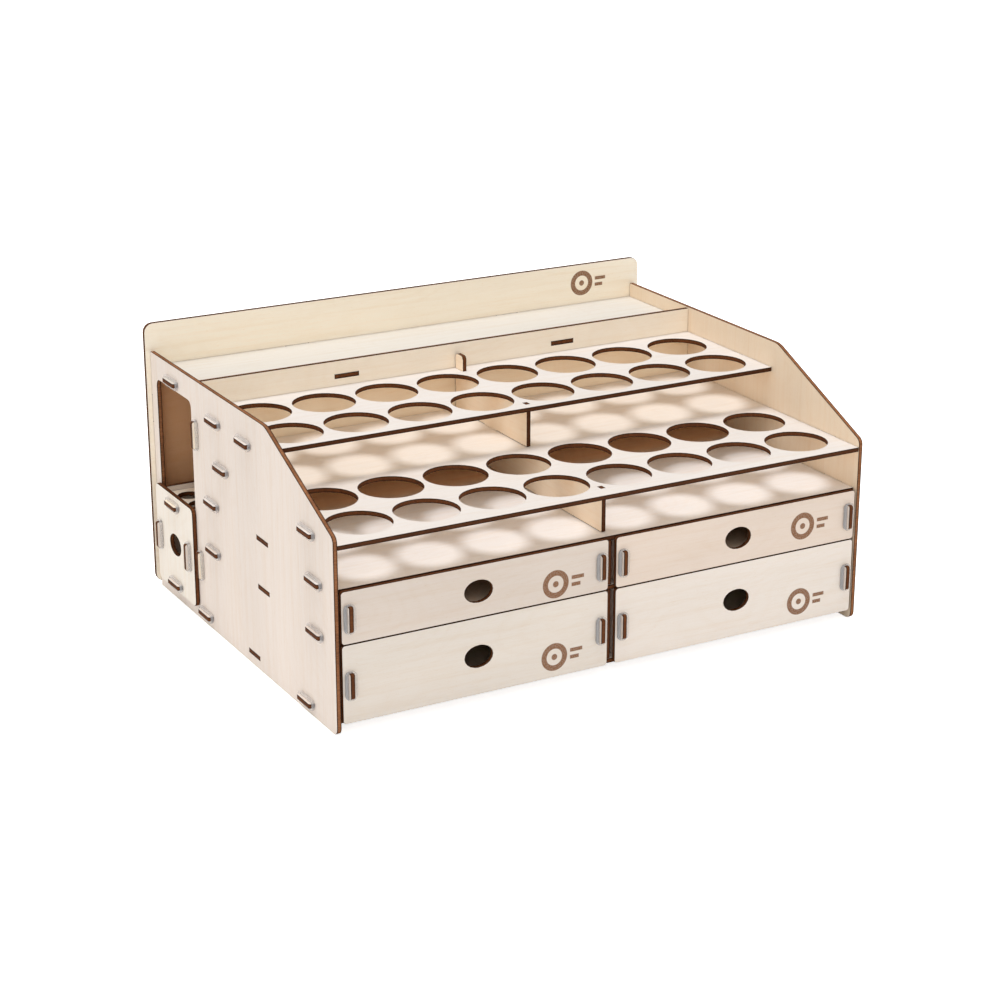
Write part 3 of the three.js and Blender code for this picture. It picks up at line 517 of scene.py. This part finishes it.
def soft_ring_material():
    """Clear, slightly cloudy silicone with a soft shine, painted darker and denser on one side as
    shade.
    """
    material, tree, shader = clear_material("milky silicone")
    source = tree.nodes.new("ShaderNodeTexCoord")
    place = vector_node(tree, "SCALE", source.outputs["Object"], (0.0, 0.0, 0.0))
    place.node.inputs["Scale"].default_value = 1 / MM
    cloud = noise(tree, place, (0.22, 0.22, 0.22), detail=2.0)
    # Painted shade: on its shaded side a ring turns darker grey and less clear.
    ring_shade = tree.nodes.new("ShaderNodeAttribute")
    ring_shade.attribute_name = RING_SHADE_SIDE
    clear = mix_colour(tree, ramp_between(tree, cloud, 0.35, 0.65),
                       *CLEAR_MILK)
    put(tree, shader.inputs["Base Color"],
        mix_colour(tree, ring_shade.outputs["Fac"], clear, SHADED_MILK))
    put(tree, shader.inputs["Roughness"], ramp_between(tree, cloud, 0.3, 0.7, 0.38, 0.50))
    put(tree, shader.inputs["Alpha"],
        ramp_between(tree, ring_shade.outputs["Fac"], 0.0, 1.0, *RING_ALPHA))
    shader.inputs["Specular IOR Level"].default_value = RING_SHINE
    return material


SILICONE = soft_ring_material()


def arc_points(centre, radius, start, steps):
    """Points of a quarter circle that starts at an angle in degrees."""
    angles = [math.radians(start + 90 * step / steps) for step in range(steps + 1)]
    return [Vector((centre[0] + radius * math.cos(a), centre[1] + radius * math.sin(a)))
            for a in angles]


CORNERS = ((1, -1, -90), (1, 1, 0), (-1, 1, 90), (-1, -1, 180))


def rounded_loop(half_long, half_wide, radius):
    """Points round a rounded rectangle, long way along the second axis."""
    loop = []
    for sign_u, sign_v, start in CORNERS:
        centre = (sign_u * (half_wide - radius), sign_v * (half_long - radius))
        loop += arc_points(centre, radius, start, LOOP_STEPS)
    return loop


def ring_section():
    """The ring's section: share of the wall's width, and height above the board."""
    points = []
    for sign_w, sign_h, start in CORNERS:
        centre = (RING_WALL / 2 + sign_w * (RING_WALL / 2 - SECTION_ROUND),
                  RING_HEIGHT / 2 + sign_h * (RING_HEIGHT / 2 - SECTION_ROUND))
        points += [(point.x / RING_WALL, point.y)
                   for point in arc_points(centre, SECTION_ROUND, start, SECTION_STEPS)]
    return points


def locking_ring(name, body, centre, long_axis, out_axis, tenon_length, shade_way,
                 stands_for=None):
    """One ring round a tenon. centre is on the board's face, in metres. shade_way points to the
    ring's side painted in shade.
    """
    half_long = tenon_length / 2 + RING_PLAY
    half_wide = PLY / 2 + RING_PLAY
    inner = rounded_loop(half_long, half_wide, INNER_CORNER)
    outer = rounded_loop(half_long + RING_END_WALL, half_wide + RING_WALL, RING_CORNER)
    section = ring_section()
    wide_axis = long_axis.cross(out_axis)
    turn = Matrix((wide_axis, long_axis, out_axis)).transposed()
    shape = bmesh.new()
    rows = []
    for near, far in zip(inner, outer):
        row = []
        for share, height in section:
            flat = near.lerp(far, share)
            local = Vector((flat.x, flat.y, RING_GAP + height)) * MM
            row.append(shape.verts.new(centre + turn @ local))
        rows.append(row)
    for this_row, next_row in zip(rows, rows[1:] + rows[:1]):
        for step in range(len(section)):
            after = (step + 1) % len(section)
            shape.faces.new((this_row[step], next_row[step], next_row[after], this_row[after]))
    bmesh.ops.recalc_face_normals(shape, faces=shape.faces)
    mesh = bpy.data.meshes.new(name)
    shape.to_mesh(mesh)
    shape.free()
    mesh.polygons.foreach_set("use_smooth", [True] * len(mesh.polygons))
    # Painted shade, growing past the tenon towards shade_way; weaker on the upright rings at the
    # rack's ends.
    start = half_wide if shade_way.dot(long_axis) == 0 else half_long
    most = UPRIGHT_SHADE if long_axis is Z and out_axis.y == 0 else 1.0
    shade_values = mesh.attributes.new(RING_SHADE_SIDE, "FLOAT", "POINT")
    for vertex, value in zip(mesh.vertices, shade_values.data):
        reach = (vertex.co - centre).dot(shade_way) / MM - start
        value.value = most * min(1.0, max(0.0, reach / SHADE_SPREAD))
    mesh.materials.append(SILICONE)
    ring = bpy.data.objects.new(name, mesh)
    bpy.context.scene.collection.objects.link(ring)
    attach(ring, body)
    if stands_for is not None:
        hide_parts(stands_for)


RINGED_TENON = 15.0         # length of a tenon that carries a ring, mm
DRAWER_TENON = 13.2
DRAWER_TENON_DROP = 0.4     # below the middle of the drawer front, mm
BRUSH_TENON_HEIGHT = 34.5   # of the tenons of the brush box's long walls


def middle(node, axis):
    low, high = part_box(node)
    return (low[axis] + high[axis]) / 2


def rack_y(y):
    return (y + RACK_SHIFT) * MM


# Each board's ringed tenons in the side panels: y of each, in rack millimetres.
SIDE_TENONS = {
    "tray_floor": (198.5,),
    "upper_rack_plate": (102.5, 141.5),
    "lower_rack_deck": (28.0, 133.0),
    "drawer_bay_top_shelf": (21.0, 147.7),
    "drawer_bay_middle_shelf": (21.0, 147.7),
    "base_board": (33.3, 161.5),
}
PARTITION_TENONS = (33.0, 106.5)    # heights on the partition's ends
BACK_TENONS = (34.0, 104.0)         # heights on the rear edges of the side panels
PANEL_FACE = {-1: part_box("left_side_panel")[0].x, 1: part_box("right_side_panel")[1].x}

for side, word in ((-1, "left"), (1, "right")):
    outward = X * side
    face = PANEL_FACE[side]
    for board, places in SIDE_TENONS.items():
        for number, y in enumerate(places, 1):
            locking_ring(f"{word}_{board}_ring_{number}", "root",
                         Vector((face, rack_y(y), middle(board, 2))), Y, outward, RINGED_TENON,
                         -Y)
    for number, z in enumerate(PARTITION_TENONS, 1):
        locking_ring(f"{word}_partition_ring_{number}", "root",
                     Vector((face, middle("rear_partition", 1), z * MM)), Z, outward,
                     RINGED_TENON, -Y)
    panel_middle = face - side * PLY * MM / 2
    back_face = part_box("back_panel")[1].y
    for number, z in enumerate(BACK_TENONS, 1):
        locking_ring(f"{word}_back_ring_{number}", "root",
                     Vector((panel_middle, back_face, z * MM)), Z, Y, RINGED_TENON, outward)
    box_front = f"{word}_brush_box_front"
    box_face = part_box(box_front)[0 if side < 0 else 1].x
    for place, board, long_axis in (("top", "hole_plate", Y), ("low", "floor", Y),
                                    ("front", "front_wall", Z), ("rear", "rear_wall", Z)):
        board_node = f"{word}_brush_box_{board}"
        y = middle(box_front, 1) if long_axis is Y else middle(board_node, 1)
        z = middle(board_node, 2) if long_axis is Y else BRUSH_TENON_HEIGHT * MM
        cad_ring = f"{word}_brush_box_{place}_ring"
        locking_ring(f"{word}_brush_box_{place}_silicone", f"{word}_brush_box",
                     Vector((box_face, y, z)), long_axis, outward, RINGED_TENON, -Y,
                     cad_ring if cad_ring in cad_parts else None)
    for level in ("upper", "lower"):
        drawer = f"{level}_{word}_drawer"
        for place in ("left", "right"):
            wall = f"{drawer}_{place}_wall"
            drawer_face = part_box(f"{drawer}_front")[0].y
            height = middle(f"{drawer}_front", 2) - DRAWER_TENON_DROP * MM
            locking_ring(f"{drawer}_{place}_silicone", drawer,
                         Vector((middle(wall, 0), drawer_face, height)),
                         Z, -Y, DRAWER_TENON, -X, f"{drawer}_{place}_ring")

# ---- studio -----------------------------------------------------------------------------


FLOOR_HALF = 15.0           # metres
FLOOR_DROP = 0.2            # just under the rack's feet, mm
FLOOR_GLOW = 0.75           # keeps the floor white to the eye without lighting the rack


def studio_floor():
    mesh = bpy.data.meshes.new("studio_floor")
    mesh.from_pydata([(x * FLOOR_HALF, y * FLOOR_HALF, -FLOOR_DROP * MM)
                      for x, y in ((-1, -1), (1, -1), (1, 1), (-1, 1))], [], [(0, 1, 2, 3)])
    floor = bpy.data.objects.new("studio_floor", mesh)
    bpy.context.scene.collection.objects.link(floor)
    material, tree, shader = clear_material("white studio floor")
    shader.inputs["Base Color"].default_value = (0.93, 0.93, 0.93, 1)
    seen = tree.nodes.new("ShaderNodeLightPath")
    put(tree, shader.inputs["Emission Strength"],
        math_node(tree, "MULTIPLY", seen.outputs["Is Camera Ray"], FLOOR_GLOW))
    shader.inputs["Emission Color"].default_value = (1, 1, 1, 1)
    shader.inputs["Roughness"].default_value = 0.9
    shader.inputs["Specular IOR Level"].default_value = 0.1
    mesh.materials.append(material)


def soft_sun(name, strength, spread, direction, colour=(1, 1, 1)):
    """A soft, far-away lamp that shines along direction; spread is its width in degrees."""
    data = bpy.data.lights.new(name, "SUN")
    data.energy = strength
    data.color = colour
    data.angle = math.radians(spread)
    lamp = bpy.data.objects.new(name, data)
    lamp.rotation_mode = "QUATERNION"
    lamp.rotation_quaternion = Vector(direction).to_track_quat("-Z", "Y")
    bpy.context.scene.collection.objects.link(lamp)


studio_floor()
soft_sun("overhead softbox", 1.75, 26, (0.05, -0.02, -1), (0.97, 1.0, 1.05))
soft_sun("left fill", 0.60, 90, (1, 0.35, -0.55))
soft_sun("front fill", 0.45, 90, (0.15, 1, -0.45))

WALL_COLOUR = (1, 0.95, 0.88, 1)
WALL_STRENGTH = 0.50

world = bpy.data.worlds.new("white studio")
bpy.context.scene.world = world
world.use_nodes = True
world.node_tree.nodes["Background"].inputs["Color"].default_value = WALL_COLOUR
world.node_tree.nodes["Background"].inputs["Strength"].default_value = WALL_STRENGTH
bpy.context.scene.view_settings.view_transform = "Standard"

CAMERA_PLACE = (-0.59533, -1.06895, 0.49323)    # metres
CAMERA_WAY = (0.45837, 0.82342, -0.33448)

camera_data = bpy.data.cameras.new("camera")
camera_data.sensor_width = 36.0
camera_data.lens = 85.634
camera_data.clip_end = 60.0
camera = bpy.data.objects.new("camera", camera_data)
bpy.context.scene.collection.objects.link(camera)
camera.location = CAMERA_PLACE
camera.rotation_mode = "QUATERNION"
camera.rotation_quaternion = Vector(CAMERA_WAY).to_track_quat("-Z", "Y")
bpy.context.scene.camera = camera
